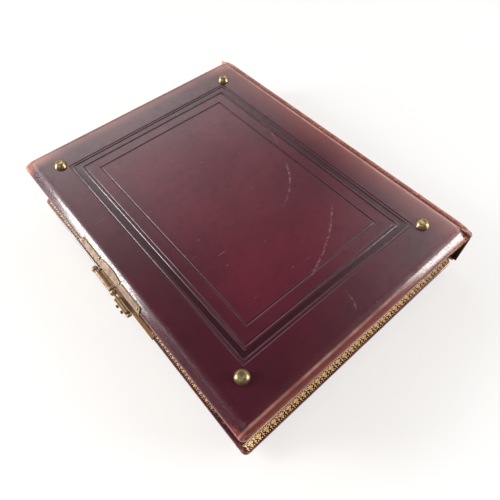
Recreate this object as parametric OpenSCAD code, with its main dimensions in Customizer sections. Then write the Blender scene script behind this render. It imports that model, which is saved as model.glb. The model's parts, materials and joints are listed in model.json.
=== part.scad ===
// Leather photograph album with bevelled covers, card leaves on linen guards and a pinch clasp.
// X runs from the spine to the fore edge, Y from the tail to the head, Z up. Millimetres.
// The album lies closed on its back cover. The origin is under the middle of it, on the table.

/* [Covers] */
// Height of the book, tail to head
cover_length = 297; // [260:1:330]
// Width of one cover, joint to fore edge
cover_width = 221; // [205:1:250]
// Thickness of one finished cover
cover_thick = 10; // [9:0.5:13]
// Width and drop of the bevel along the fore edge, head and tail
bevel = 6.5; // [4:0.5:7.5]
// Radius of the ridge between the bevel and the outer face
ridge_round = 4; // [2:0.5:5]
// Radius of the outer edge beside the spine
joint_round = 3; // [2:0.5:5]
// Radius of the inner edge all round
inner_round = 1.2; // [0.6:0.1:1.5]
// Radius of the corners in plan
corner_round = 4; // [2:0.5:8]
// Thickness of the leather
leather_thick = 1; // [0.8:0.1:1.4]
// Width of the leather turned in over the inner face
turn_in = 15; // [10:1:22]

/* [Tooling] */
// Distance from the boss rectangle in to the outer fillet
fillet_inset = 5.7; // [2:0.1:10]
// Distance from the outer fillet in to the sunk band
band_inset = 2.8; // [2:0.1:5]
// Width of the sunk band
band_width = 5.1; // [2:0.1:8]
// Distance from the sunk band in to the second fillet
second_inset = 1.5; // [1.2:0.1:4]
// Distance from the second fillet in to the panel fillet
panel_inset = 9.2; // [4:0.1:15]
// Width of a fillet line
fillet_width = 0.8; // [0.4:0.1:1.1]
// Depth of a fillet line
fillet_depth = 0.4; // [0.2:0.05:0.5]
// Depth of the sunk band
band_depth = 0.2; // [0.1:0.05:0.3]

/* [Bosses] */
// Diameter of a boss
boss_d = 10.4; // [7:0.2:14]
// Height of a boss, which is also the height of the feet
boss_h = 3.8; // [2.5:0.1:5]
// Diameter of the flat on top of a boss
boss_flat = 4.8; // [2:0.2:5.4]
// Thickness of the boss rim
boss_rim = 0.7; // [0.4:0.1:1]
// Diameter of the boss nail
boss_nail_d = 2.2; // [1.4:0.1:3]
// Length of the boss nail
boss_nail = 5; // [3:0.5:6]
// Distance of the bosses from the fore edge
boss_from_fore = 23.8; // [16:0.2:40]
// Distance of the bosses from the joint edge
boss_from_joint = 20.6; // [14:0.2:40]
// Distance of the bosses from head and tail
boss_from_head = 28.5; // [18:0.5:45]

/* [Spine] */
// Radius of the rounded shoulders along the joints
shoulder_r = 3.2; // [2.8:0.1:4.5]
// How far a shoulder lies inside the outer face of its cover
shoulder_drop = 2.3; // [0.5:0.1:4]
// How far the leather runs round a shoulder past its crown, in degrees
shoulder_wrap = 40; // [0:5:60]
// Gap between a shoulder and the cover beside it
joint_gap = 0.3; // [0.2:0.05:1]
// Thickness of the linen lining of the spine
lining_thick = 0.35; // [0.2:0.05:0.6]
// Angle by which the leaves push the front cover up at the fore edge
swell = 3.3; // [0:0.1:4]

/* [Leaves] */
// Thickness of one leaf beside its guard
leaf_thick = 2.5; // [2:0.1:3]
// Gap between two leaves beside the spine
leaf_gap = 0.25; // [0.2:0.05:0.6]
// Gap between two leaves at the fore edge
fore_gap = 0.5; // [0.3:0.1:1]
// Distance of the leaves inside the cover edges
leaf_square = 8.2; // [7:0.2:14]
// Radius of the leaf corners
leaf_round = 4; // [1:0.5:10]
// Width of the bare linen between stub and leaf
guard_width = 10; // [9:0.5:14]
// Thickness of the linen guard
guard_thick = 0.7; // [0.4:0.05:1]
// Depth to which the guard is let into the leaf
guard_inlet = 6; // [4:0.5:10]
// Radius of the folded edge of the guard
guard_fold = 0.6; // [0.5:0.05:0.8]
// Width of the card stubs
stub_width = 8.3; // [6:0.1:10]
// How far a guard stops short of the leaf at head and tail
guard_short = 2; // [0.5:0.5:6]
// Thickness of the guard tail between two stubs
tail_thick = 0.5; // [0.3:0.05:0.7]
// Depth of a window
window_depth = 0.4; // [0.2:0.05:0.6]
// Width of a cabinet window
cabinet_w = 96; // [80:1:110]
// Height of a cabinet window
cabinet_h = 142; // [120:1:160]
// Width of a carte window
carte_w = 54; // [45:1:58]
// Height of a carte window
carte_h = 86; // [75:1:92]
// Space between carte windows, side by side
carte_gap_x = 18; // [10:1:24]
// Space between carte windows, one above the other
carte_gap_y = 24; // [14:1:40]
// Corner radius of a window
window_round = 8; // [2:1:20]
// Width of the slit through which a card is put in
slit_width = 0.5; // [0.3:0.1:1]
// Distance of the slit below its window
slit_drop = 5; // [3:0.5:8]

/* [Clasp] */
// Place of the clasp along the fore edge, from the middle
clasp_y = -3; // [-30:1:30]
// Length of the clasp plates
plate_length = 82; // [60:1:110]
// Thickness of the clasp plates
plate_thick = 1; // [0.8:0.1:1.4]
// Radius of the outer corners of the wings
wing_round = 2; // [0.5:0.25:3]
// Height to which the wings of the upper plate reach on the cover
wing_top = 6.8; // [5:0.1:7]
// Height of the lobe above the wings
lobe_rise = 1.2; // [0.5:0.1:1.4]
// Half length of the lobe
lobe_half = 13; // [12:0.5:18]
// Width of the notch beside the lobe
notch_width = 2; // [1:0.25:4]
// Depth of the notch beside the lobe
notch_depth = 1; // [0.5:0.1:2]
// Width of the lower plate on the inner face of the back cover
lower_leg = 6; // [4:0.25:7]
// Height of the lip of the lower plate below the edge of the back cover
lower_lip = 1.5; // [1:0.25:3]
// Length of the lower plate past a catch ear, where it reaches down
catch_margin = 1.5; // [0.5:0.25:4]
// Height of the upper plate pins above the foot of the bevel
pin_up = 1.6; // [1:0.1:2.4]
// Distance of the plate pins from the ends of the plate
plate_pin_end = 3; // [2.5:0.25:8]
// Diameter of a plate pin
plate_pin_d = 1.2; // [0.8:0.1:1.6]
// Diameter of the head of a plate pin
plate_pin_head = 2.4; // [2:0.1:3]
// Height of the head of a plate pin
plate_pin_dome = 0.6; // [0.4:0.1:1]
// Length of a plate pin
plate_pin = 6; // [4:0.5:7]
// Distance of the clasp hinge from the fore edge
hinge_reach = 5; // [4.6:0.1:7]
// Distance of the clasp hinge below the face of the front cover
hinge_drop = 9.5; // [8.5:0.1:10]
// Diameter of the hinge pin
hinge_pin_d = 2; // [1.6:0.1:2.4]
// Diameter of the hinge barrel
barrel_d = 4; // [3.4:0.1:4.4]
// Length of the hinge barrel
barrel_length = 17.6; // [14:0.2:20]
// Width of a hinge ear
ear_width = 1.6; // [1.2:0.1:2.4]
// Diameter of the ball finials
ball_d = 5; // [4:0.1:6]
// Thickness of the hasp
hasp_thick = 1.4; // [1:0.1:1.8]
// Width of the hasp
hasp_width = 17; // [12:0.5:17]
// Width of the latch case
case_width = 16; // [14:0.5:17]
// Depth of the latch case
case_depth = 4; // [3.6:0.1:5]
// Height of the latch case
case_height = 9; // [6:0.5:11]
// Depth of the bolts below the inner face of the back cover
bolt_drop = 3.6; // [3:0.1:4]
// Diameter of a bolt
bolt_d = 2; // [1.6:0.1:2.2]
// Distance of a bolt's inner end from the middle of the case
bolt_start = 2.2; // [1.8:0.1:2.6]
// Distance of a bolt's nose inside the case at rest
bolt_nose_in = 0.3; // [0.2:0.05:0.6]
// Travel of a bolt
bolt_travel = 1.4; // [1:0.1:1.6]
// Distance of a knob from the middle of the case at rest
knob_y = 3.4; // [3.2:0.1:3.6]
// Diameter of a knob
knob_d = 3; // [2.4:0.1:3.4]
// Length of a knob
knob_length = 1.8; // [1.2:0.1:3]
// Rounding of the front edge of a knob
knob_round = 0.6; // [0.2:0.1:0.9]
// Diameter of the stem of a knob
stem_d = 1.4; // [1:0.1:1.6]
// Gap between a knob and the case
knob_gap = 0.3; // [0.2:0.05:0.6]
// Width of a catch ear on the lower plate
catch_width = 2.2; // [1.8:0.1:3]
// Wall of a catch ear round its bore
catch_wall = 1.2; // [0.9:0.1:1.4]

/* [Clearances] */
// Gap between glued layers
glue_gap = 0.05; // [0.02:0.01:0.1]
// Radial clearance of the pin and the bolts
running = 0.05; // [0.03:0.01:0.1]
// Gap between moving faces
side_gap = 0.3; // [0.2:0.05:0.5]
// Gap left above and below the leaves at the spine
block_gap = 0.3; // [0.2:0.05:0.6]

/* [Hidden] */
$fn = 64;
leaf_count = 10;
past = 1;
far = 400;

// Covers: the joint axes lie at x = 0, and a cover starts just clear of its shoulder
joint_x = shoulder_r + joint_gap;
fore_x = joint_x + cover_width;
board_inset = leather_thick + glue_gap;
boss_xs = [joint_x + boss_from_joint, fore_x - boss_from_fore];
boss_y = cover_length / 2 - boss_from_head;
pastedown_gap = 0.2;

// Heights, with the album square before the leaves push it open
leaf_pitch = leaf_thick + leaf_gap;
back_in = boss_h + cover_thick;
block_height = leaf_count * leaf_pitch + 2 * block_gap;
front_in = back_in + block_height;
back_axis_z = boss_h + shoulder_drop + shoulder_r;
front_axis_z = front_in + cover_thick - shoulder_drop - shoulder_r;

// Leaves: their card pockets fill the wedge between the covers
leaf_axis_x = stub_width + side_gap + guard_fold;
leaf_end = fore_x - leaf_square - leaf_axis_x;
leaf_length = cover_length - 2 * leaf_square;
leaf_mid = (guard_width + leaf_end) / 2;
fore_thick = leaf_pitch + leaf_end * sin(swell / leaf_count) - fore_gap;
face_slope = atan((fore_thick - leaf_thick) / 2 / (leaf_end - guard_width));
guard_length = leaf_length - 2 * guard_short;
function leaf_z(i) = front_in - block_gap - leaf_pitch * (i - 0.5);
function leaf_fan(i) = swell * (i - 0.5) / leaf_count;

// Clasp: the upper plate in the frame of its cover, the hasp and the lower plate in the table's
hinge_x = fore_x + hinge_reach;
hinge_z = cover_thick - hinge_drop;
function swung_x(x, z) = x * cos(swell) - (z - back_axis_z) * sin(swell);
function swung_z(x, z) = back_axis_z + x * sin(swell) + (z - back_axis_z) * cos(swell);
hasp_x = swung_x(hinge_x, front_in + hinge_z);
hasp_z = swung_z(hinge_x, front_in + hinge_z);
barrel_end = barrel_length / 2;
ear_start = barrel_end + side_gap / 2;
ear_end = ear_start + ear_width;
ball_y = ear_end + side_gap / 2 + ball_d / 2;
plate_front = fore_x + glue_gap + plate_thick;
case_x = plate_front + side_gap;
case_front = case_x + case_depth;
bolt_x = case_x + case_depth / 2;
bolt_z = back_in - bolt_drop;
case_low = bolt_z - case_height / 2;
bolt_end = case_width / 2 - bolt_nose_in;
catch_y = case_width / 2 + side_gap;
catch_r = bolt_d / 2 + running + catch_wall;
knob_tip = case_front + knob_gap + knob_length;
pin_y = plate_length / 2 - plate_pin_end;
bevel_foot = cover_thick - bevel;

// The origin is the middle of the box that the closed album fills
frame_shift = -(knob_tip + swung_x(0, front_axis_z) - shoulder_r) / 2;

leather_color = [0.33, 0.13, 0.15];
brass_color = [0.72, 0.58, 0.36];
card_color = [0.86, 0.79, 0.66];
linen_color = [0.80, 0.76, 0.66];
board_color = [0.55, 0.45, 0.34];
paper_color = [0.90, 0.86, 0.78];

// Shared shapes

// The scrap outside a rounded corner, with the corner at the origin
module nook(r) {
    if (r > 0) difference() {
        translate([-past, -past]) square(r + past);
        translate([r, r]) circle(r);
    }
}

// The scrap outside a bevel with a rounded ridge: the face runs along X, the side along Y
module bevel_nook(leg, r) {
    reach = r * tan(22.5);
    slant = reach * sqrt(1 / 2);
    difference() {
        polygon([
            [-past, -past], [leg + reach, -past], [leg + reach, 0],
            [leg - slant, slant], [0, leg], [-past, leg]
        ]);
        translate([leg + reach, r]) circle(r);
    }
}

// Rectangle from the origin with its own radius at each corner
module soft_rect(w, h, low_left, low_right, high_left, high_right) {
    difference() {
        square([w, h]);
        nook(low_left);
        translate([w, 0]) mirror([1, 0]) nook(low_right);
        translate([0, h]) mirror([0, 1]) nook(high_left);
        translate([w, h]) rotate(180) nook(high_right);
    }
}

// Rectangle about the origin with equal corners
module middle_rect(w, h, r) {
    translate([-w / 2, -h / 2]) soft_rect(w, h, r, r, r, r);
}

// Outline in X and Z drawn out along Y, about the middle
module along_y(length) {
    rotate([90, 0, 0]) linear_extrude(length, center = true) children();
}

// Outline in Y and Z drawn out along X
module along_x(length) {
    rotate([90, 0, 90]) linear_extrude(length) children();
}

module rod_y(r, from, to) {
    translate([0, to, 0]) rotate([90, 0, 0]) cylinder(h = to - from, r = r);
}

module both_sides() {
    children();
    mirror([0, 1, 0]) children();
}

module in_album() {
    translate([frame_shift, 0, 0]) children();
}

// Front cover and spine lean back together about the lower joint
module leaning() {
    in_album() translate([0, 0, back_axis_z]) rotate([0, -swell, 0])
        translate([0, 0, -back_axis_z]) children();
}

module front_side() {
    leaning() translate([0, 0, front_in]) children();
}

module back_side() {
    in_album() translate([0, 0, back_in]) mirror([0, 0, 1]) children();
}

// Parts of a cover, with its inner face at z = 0

// Section of a cover, drawn in by an inset: bevelled at both ends, or rounded at the joint
module cover_section(width, inset, joint) {
    w = width - 2 * inset;
    t = cover_thick - 2 * inset;
    low = max(inner_round - inset, 0.1);
    leg = bevel - inset * (2 - sqrt(2));
    ridge = max(ridge_round - inset, 0.1);
    difference() {
        square([w, t]);
        nook(low);
        translate([w, 0]) mirror([1, 0]) nook(low);
        translate([w, t]) rotate(180) bevel_nook(leg, ridge);
        translate([0, t]) mirror([0, 1])
            if (joint) nook(joint_round - inset); else bevel_nook(leg, ridge);
    }
}

// Cover body drawn in by an inset on every side
module cover_body(inset) {
    w = cover_width - 2 * inset;
    l = cover_length - 2 * inset;
    t = cover_thick - 2 * inset;
    corner = max(corner_round - inset, 0.5);
    intersection() {
        translate([joint_x + inset, 0, inset]) along_y(l)
            cover_section(cover_width, inset, true);
        translate([joint_x + inset, -l / 2, inset]) along_x(w)
            cover_section(cover_length, inset, false);
        translate([joint_x + inset, -l / 2, inset]) linear_extrude(t)
            soft_rect(w, l, corner, corner, corner, corner);
    }
}

module inner_panel(gap, low, high) {
    edge = turn_in + gap;
    translate([joint_x + edge, edge - cover_length / 2, low])
        cube([cover_width - 2 * edge, cover_length - 2 * edge, high - low]);
}

module boss_places() {
    for (x = boss_xs, y = [-boss_y, boss_y]) translate([x, y, cover_thick]) children();
}

module boss_holes() {
    boss_places() translate([0, 0, -boss_nail - past])
        cylinder(h = boss_nail + 2 * past, d = boss_nail_d + 2 * glue_gap);
}

// One frame of the tooling, from its outer edge inwards, cut into the outer face
module tool_line(inset, width, depth) {
    w = boss_xs[1] - boss_xs[0] - 2 * inset;
    l = 2 * boss_y - 2 * inset;
    mid = (boss_xs[0] + boss_xs[1]) / 2;
    translate([mid, 0, cover_thick - depth]) difference() {
        translate([-w / 2, -l / 2, 0]) cube([w, l, depth + past]);
        translate([width - w / 2, width - l / 2, -past])
            cube([w - 2 * width, l - 2 * width, depth + 3 * past]);
    }
}

module tooling() {
    band = fillet_inset + band_inset;
    second = band + band_width + second_inset;
    tool_line(fillet_inset, fillet_width, fillet_depth);
    tool_line(band, band_width, band_depth);
    tool_line(second, fillet_width, fillet_depth);
    tool_line(second + panel_inset, fillet_width, fillet_depth);
}

module cover_leather() {
    difference() {
        cover_body(0);
        cover_body(leather_thick);
        inner_panel(0, -past, leather_thick + past);
        boss_holes();
        tooling();
    }
}

module cover_board() {
    difference() {
        cover_body(board_inset);
        boss_holes();
    }
}

module cover_pastedown() {
    inner_panel(pastedown_gap, glue_gap, leather_thick);
}

// Half section of a dome on the level z = 0, from its foot up to a flat
module dome_section(foot, flat, rise) {
    middle = (rise * rise - foot * foot + flat * flat) / (2 * rise);
    intersection() {
        translate([0, middle]) circle(norm([foot, middle]));
        square([foot, rise]);
    }
}

module cover_bosses() {
    step = boss_rim / 2;
    boss_places() {
        rotate_extrude() {
            square([boss_d / 2, boss_rim]);
            translate([0, boss_rim])
                dome_section(boss_d / 2 - step, boss_flat / 2, boss_h - boss_rim);
        }
        translate([0, 0, -boss_nail]) cylinder(h = boss_nail + boss_rim, d = boss_nail_d);
    }
}

// Pins of the plates: a domed head on the plate and a shank into the board

module nail(length) {
    rotate_extrude() dome_section(plate_pin_head / 2, 0, plate_pin_dome);
    translate([0, 0, -length]) cylinder(h = length + plate_pin_dome / 2, d = plate_pin_d);
}

module nail_hole(length) {
    translate([0, 0, -length - past])
        cylinder(h = length + 2 * past, d = plate_pin_d + 2 * glue_gap);
}

// Upper pins stand square to the bevel
module upper_pin_places() {
    translate([0, clasp_y, 0]) both_sides()
        translate([fore_x - pin_up, pin_y, bevel_foot + pin_up])
        rotate([0, 45, 0]) translate([0, 0, glue_gap + plate_thick]) children();
}

// Lower pins stand on the inner face of the back cover, in the frame of a cover
module lower_pin_places() {
    translate([0, clasp_y, 0]) both_sides()
        translate([fore_x - lower_leg / 2, pin_y, -glue_gap - plate_thick])
        mirror([0, 0, 1]) children();
}

module front_board() {
    color(board_color) front_side() difference() {
        cover_board();
        upper_pin_places() nail_hole(plate_pin);
    }
}

module front_leather() {
    color(leather_color) front_side() difference() {
        cover_leather();
        upper_pin_places() nail_hole(plate_pin);
    }
}

module front_pastedown() {
    color(paper_color) front_side() cover_pastedown();
}

module front_bosses() {
    color(brass_color) front_side() cover_bosses();
}

module back_board() {
    color(board_color) back_side() difference() {
        cover_board();
        lower_pin_places() nail_hole(plate_pin);
    }
}

module back_leather() {
    color(leather_color) back_side() difference() {
        cover_leather();
        lower_pin_places() nail_hole(plate_pin);
    }
}

module back_pastedown() {
    color(paper_color) back_side() cover_pastedown();
}

module back_bosses() {
    color(brass_color) back_side() cover_bosses();
}

// Spine: leather over a board strip, lined with linen, with stubs for the leaves

// Leather of one shoulder, from the outer face round past the crown below it
module shoulder() {
    reach = 2 * shoulder_r;
    intersection() {
        difference() {
            circle(shoulder_r);
            circle(shoulder_r - leather_thick);
        }
        polygon([[0, 0], [-reach, 0], [-reach, -reach], [reach * tan(shoulder_wrap), -reach]]);
    }
}

module spine_strip(from, to, length) {
    translate([from, -length / 2, back_axis_z])
        cube([to - from, length, front_axis_z - back_axis_z]);
}

module spine_leather() {
    color(leather_color) leaning() along_y(cover_length) {
        translate([-shoulder_r, back_axis_z])
            square([leather_thick, front_axis_z - back_axis_z]);
        translate([0, back_axis_z]) shoulder();
        translate([0, front_axis_z]) mirror([0, 1]) shoulder();
    }
}

module spine_board() {
    board_length = cover_length - 2 * leather_thick;
    color(board_color) leaning()
        spine_strip(board_inset - shoulder_r, -lining_thick - glue_gap, board_length);
}

module spine_lining() {
    color(linen_color) leaning() spine_strip(-lining_thick, 0, leaf_length);
}

module stub_strip(low, high) {
    translate([glue_gap, -leaf_length / 2, low])
        cube([stub_width - glue_gap, leaf_length, high - low]);
}

module stubs() {
    half = tail_thick / 2 + glue_gap;
    color(card_color) leaning() {
        stub_strip(leaf_z(1) + half, front_in - block_gap);
        for (i = [2 : leaf_count]) stub_strip(leaf_z(i) + half, leaf_z(i - 1) - half);
        stub_strip(back_in + block_gap, leaf_z(leaf_count) - half);
    }
}

module guard_tails() {
    half = tail_thick / 2;
    color(linen_color) leaning()
        for (i = [1 : leaf_count]) stub_strip(leaf_z(i) - half, leaf_z(i) + half);
}

// Leaves: the guard's fold at the origin, the leaf running out along X

module leaf_place(i) {
    leaning() translate([leaf_axis_x, 0, leaf_z(i)]) rotate([0, leaf_fan(i), 0]) children();
}

module window(w, h) {
    linear_extrude(window_depth + past) middle_rect(w, h, window_round);
    translate([-w / 2, -h / 2 - slit_drop - slit_width, 0])
        cube([w, slit_width, window_depth + past]);
}

// Upper face of a leaf, which rises a little towards the fore edge
module on_face() {
    translate([guard_width, 0, leaf_thick / 2]) rotate([0, -face_slope, 0])
        translate([leaf_mid - guard_width, 0, -window_depth]) children();
}

module cabinet_page() {
    on_face() window(cabinet_w, cabinet_h);
}

module carte_page() {
    step_x = (carte_w + carte_gap_x) / 2;
    step_y = (carte_h + carte_gap_y) / 2;
    on_face() for (x = [-step_x, step_x], y = [-step_y, step_y])
        translate([x, y, 0]) window(carte_w, carte_h);
}

// Leaf without its windows
module leaf_blank() {
    root = leaf_thick / 2;
    fore = fore_thick / 2;
    intersection() {
        along_y(leaf_length)
            polygon([[guard_width, -root], [leaf_end, -fore], [leaf_end, fore], [guard_width, root]]);
        translate([guard_width, -leaf_length / 2, -fore_thick]) linear_extrude(2 * fore_thick)
            soft_rect(leaf_end - guard_width, leaf_length, 0, leaf_round, 0, leaf_round);
    }
}

module leaf_card(cabinet_first) {
    slot = guard_thick + 2 * glue_gap;
    difference() {
        leaf_blank();
        if (cabinet_first) cabinet_page(); else carte_page();
        mirror([0, 0, 1]) if (cabinet_first) carte_page(); else cabinet_page();
        translate([guard_width - past, -far / 2, -slot / 2])
            cube([guard_inlet + past, far, slot]);
    }
}

module leaf(i) {
    color(card_color) leaf_place(i) leaf_card(i % 2 == 1);
}

module guard(i) {
    color(linen_color) leaf_place(i) {
        rod_y(guard_fold, -guard_length / 2, guard_length / 2);
        translate([0, -guard_length / 2, -guard_thick / 2])
            cube([guard_width + guard_inlet - glue_gap, guard_length, guard_thick]);
    }
}

// Clasp

// Outline of the cover's section, grown by a gap
module grown_section(gap) {
    translate([joint_x - gap, -gap]) cover_section(cover_width, -gap, true);
}

// Section of the upper plate, bent over the bevel of the front cover
module upper_section() {
    intersection() {
        difference() {
            grown_section(glue_gap + plate_thick);
            grown_section(glue_gap);
        }
        translate([fore_x - bevel, 0]) square(bevel + 2 * plate_thick);
    }
}

// Front view of the upper plate: two wings, two notches and an arched lobe
module upper_outline() {
    lobe_r = (lobe_half * lobe_half + lobe_rise * lobe_rise) / (2 * lobe_rise);
    low = inner_round;
    difference() {
        translate([-plate_length / 2, low])
            soft_rect(plate_length, wing_top - low, 0, 0, wing_round, wing_round);
        for (side = [-1, 1]) translate([side * (lobe_half + notch_width / 2), wing_top])
            square([notch_width, 2 * notch_depth], center = true);
    }
    intersection() {
        translate([0, wing_top + lobe_rise - lobe_r]) circle(lobe_r, $fn = 180);
        translate([-lobe_half, low]) square([2 * lobe_half, cover_thick]);
    }
}

module hinge_ear() {
    r = barrel_d / 2;
    translate([hinge_x, 0, hinge_z]) rod_y(r, ear_start, ear_end);
    translate([plate_front - plate_thick / 2, ear_start, hinge_z])
        cube([hinge_x - plate_front + plate_thick / 2, ear_width, r]);
}

module upper_plate() {
    color(brass_color) front_side() difference() {
        translate([0, clasp_y, 0]) difference() {
            union() {
                intersection() {
                    along_y(plate_length) upper_section();
                    along_x(far) upper_outline();
                }
                both_sides() hinge_ear();
            }
            translate([hinge_x, 0, hinge_z])
                rod_y(hinge_pin_d / 2 + running, -ear_end - past, ear_end + past);
        }
        upper_pin_places() nail_hole(plate_pin);
    }
}

module upper_plate_pins() {
    color(brass_color) front_side() upper_pin_places() nail(plate_pin);
}

module hinge_pin() {
    color(brass_color) front_side() translate([hinge_x, clasp_y, hinge_z]) {
        rod_y(hinge_pin_d / 2, -ball_y, ball_y);
        both_sides() translate([0, ball_y, 0]) sphere(d = ball_d);
    }
}

// Slot in the front of the latch case, as long as the stem and its travel
module stem_slot() {
    r = stem_d / 2 + running;
    depth = case_depth / 2 + past;
    translate([bolt_x, knob_y, bolt_z]) rotate([0, 90, 0]) {
        cylinder(h = depth, r = r);
        translate([0, bolt_travel, 0]) cylinder(h = depth, r = r);
        translate([-r, 0, 0]) cube([2 * r, bolt_travel, depth]);
    }
}

module hasp() {
    case_top = case_low + case_height;
    color(brass_color) in_album() translate([0, clasp_y, 0]) difference() {
        union() {
            translate([hasp_x, 0, hasp_z]) rod_y(barrel_d / 2, -barrel_end, barrel_end);
            translate([hasp_x - hasp_thick / 2, -hasp_width / 2, case_top - past])
                cube([hasp_thick, hasp_width, hasp_z - case_top + past]);
            translate([case_x, -case_width / 2, case_low])
                cube([case_depth, case_width, case_height]);
        }
        translate([hasp_x, 0, hasp_z])
            rod_y(hinge_pin_d / 2 + running, -barrel_end - past, barrel_end + past);
        translate([bolt_x, 0, bolt_z])
            rod_y(bolt_d / 2 + running, -case_width / 2 - past, case_width / 2 + past);
        both_sides() stem_slot();
    }
}

// Bolt with its stem and knob, on the head side of the case
module bolt() {
    translate([bolt_x, 0, bolt_z]) rod_y(bolt_d / 2, bolt_start, bolt_end);
    translate([bolt_x, knob_y, bolt_z]) rotate([0, 90, 0]) {
        cylinder(h = knob_tip - bolt_x - knob_length / 2, d = stem_d);
        translate([0, 0, knob_tip - bolt_x - knob_length]) rotate_extrude()
            soft_rect(knob_d / 2, knob_length, 0, 0, 0, knob_round);
    }
}

module latch_bolt_right() {
    color(brass_color) in_album() translate([0, clasp_y, 0]) bolt();
}

module latch_bolt_left() {
    color(brass_color) in_album() translate([0, clasp_y, 0]) mirror([0, 1, 0]) bolt();
}

// The coil spring between the bolts, as the sleeve that it fills
module latch_spring() {
    sleeve_r = bolt_d / 2 - glue_gap;
    color("silver") in_album() translate([bolt_x, clasp_y, bolt_z]) difference() {
        rod_y(sleeve_r, glue_gap - bolt_start, bolt_start - glue_gap);
        rod_y(sleeve_r / 2, -bolt_start - past, bolt_start + past);
    }
}

module catch_ear() {
    translate([bolt_x, 0, bolt_z]) rod_y(catch_r, catch_y, catch_y + catch_width);
    translate([plate_front - plate_thick, catch_y, bolt_z - catch_r])
        cube([bolt_x - plate_front + plate_thick, catch_width, 2 * catch_r]);
}

module lower_plate() {
    seat = back_in + glue_gap;
    wing_low = back_in - inner_round - lower_lip;
    middle = catch_y + catch_width + catch_margin;
    color(brass_color) in_album() difference() {
        translate([0, clasp_y, 0]) difference() {
            union() {
                translate([fore_x - lower_leg, -plate_length / 2, seat])
                    cube([plate_front - fore_x + lower_leg, plate_length, plate_thick]);
                translate([plate_front - plate_thick, -plate_length / 2, wing_low])
                    cube([plate_thick, plate_length, seat + plate_thick - wing_low]);
                translate([plate_front - plate_thick, -middle, bolt_z - catch_r])
                    cube([plate_thick, 2 * middle, seat - bolt_z + catch_r]);
                both_sides() catch_ear();
            }
            translate([bolt_x, 0, bolt_z]) rod_y(bolt_d / 2 + running, -far / 2, far / 2);
        }
        translate([0, 0, back_in]) mirror([0, 0, 1]) lower_pin_places() nail_hole(plate_pin);
    }
}

module lower_plate_pins() {
    color(brass_color) back_side() lower_pin_places() nail(plate_pin);
}

front_board();
front_leather();
front_pastedown();
front_bosses();
back_board();
back_leather();
back_pastedown();
back_bosses();
spine_board();
spine_leather();
spine_lining();
stubs();
guard_tails();
leaf(1);  // leaf_01
leaf(2);  // leaf_02
leaf(3);  // leaf_03
leaf(4);  // leaf_04
leaf(5);  // leaf_05
leaf(6);  // leaf_06
leaf(7);  // leaf_07
leaf(8);  // leaf_08
leaf(9);  // leaf_09
leaf(10);  // leaf_10
guard(1);  // guard_01
guard(2);  // guard_02
guard(3);  // guard_03
guard(4);  // guard_04
guard(5);  // guard_05
guard(6);  // guard_06
guard(7);  // guard_07
guard(8);  // guard_08
guard(9);  // guard_09
guard(10);  // guard_10
upper_plate();
upper_plate_pins();
hinge_pin();
hasp();
latch_bolt_left();
latch_bolt_right();
latch_spring();
lower_plate();
lower_plate_pins();
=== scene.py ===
import json
import math

import bmesh
import bpy
from mathutils import Matrix, Vector, noise


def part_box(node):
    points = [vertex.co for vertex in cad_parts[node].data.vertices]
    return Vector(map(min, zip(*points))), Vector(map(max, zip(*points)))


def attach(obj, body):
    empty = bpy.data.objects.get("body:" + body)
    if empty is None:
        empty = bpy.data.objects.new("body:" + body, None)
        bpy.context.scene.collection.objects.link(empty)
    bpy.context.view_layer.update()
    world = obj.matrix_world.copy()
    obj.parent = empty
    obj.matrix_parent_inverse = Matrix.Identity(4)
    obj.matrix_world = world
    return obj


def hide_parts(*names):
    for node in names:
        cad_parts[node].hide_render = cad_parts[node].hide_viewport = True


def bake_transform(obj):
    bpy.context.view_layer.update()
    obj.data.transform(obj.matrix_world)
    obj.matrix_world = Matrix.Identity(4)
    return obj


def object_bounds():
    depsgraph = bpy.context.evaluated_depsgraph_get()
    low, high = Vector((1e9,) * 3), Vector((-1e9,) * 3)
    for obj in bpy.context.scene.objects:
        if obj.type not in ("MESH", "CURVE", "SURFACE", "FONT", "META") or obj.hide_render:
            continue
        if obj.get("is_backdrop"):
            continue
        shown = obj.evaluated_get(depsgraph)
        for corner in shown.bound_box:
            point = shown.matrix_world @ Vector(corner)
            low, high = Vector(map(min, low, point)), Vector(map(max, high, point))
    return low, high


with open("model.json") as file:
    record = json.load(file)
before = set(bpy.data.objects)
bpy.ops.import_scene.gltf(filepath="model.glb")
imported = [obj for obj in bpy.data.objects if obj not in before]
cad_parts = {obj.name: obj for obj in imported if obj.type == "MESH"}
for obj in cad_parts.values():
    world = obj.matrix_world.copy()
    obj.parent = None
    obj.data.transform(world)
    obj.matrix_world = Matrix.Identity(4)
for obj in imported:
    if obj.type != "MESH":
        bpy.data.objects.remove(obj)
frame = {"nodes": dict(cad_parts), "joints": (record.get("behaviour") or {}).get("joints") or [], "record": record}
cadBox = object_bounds()
nodes = frame["nodes"]
joints = {joint["name"]: joint for joint in frame["joints"]}
mm = 0.001


def inMm(point):
    return Vector(point) / mm


# the covers' own frame: x from the joint's axis to the fore edge, y to the head, z out from the inner face
lowAxis = inMm(joints["spine_fold"]["pos_m"])
highAxis = inMm(joints["front_cover_hinge"]["pos_m"])
lean = math.atan2(lowAxis.x - highAxis.x, highAxis.z - lowAxis.z)
spineRise = (highAxis - lowAxis).length
coverLow, coverHigh = (inMm(corner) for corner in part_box("back_leather"))
jointX = coverLow.x - lowAxis.x
foreX = coverHigh.x - lowAxis.x
halfY = coverHigh.y
coverThick = coverHigh.z - coverLow.z
axisRise = coverHigh.z - lowAxis.z
feet = [inMm(mount["pos_m"]) for mount in frame["record"]["mounts"]]
bossSpots = [(foot.x - lowAxis.x, foot.y) for foot in feet]
bossX = max(spot[0] for spot in bossSpots)
midX = (bossX + min(spot[0] for spot in bossSpots)) / 2
bossHalfX = bossX - midX
bossHalfY = max(spot[1] for spot in bossSpots)

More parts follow.
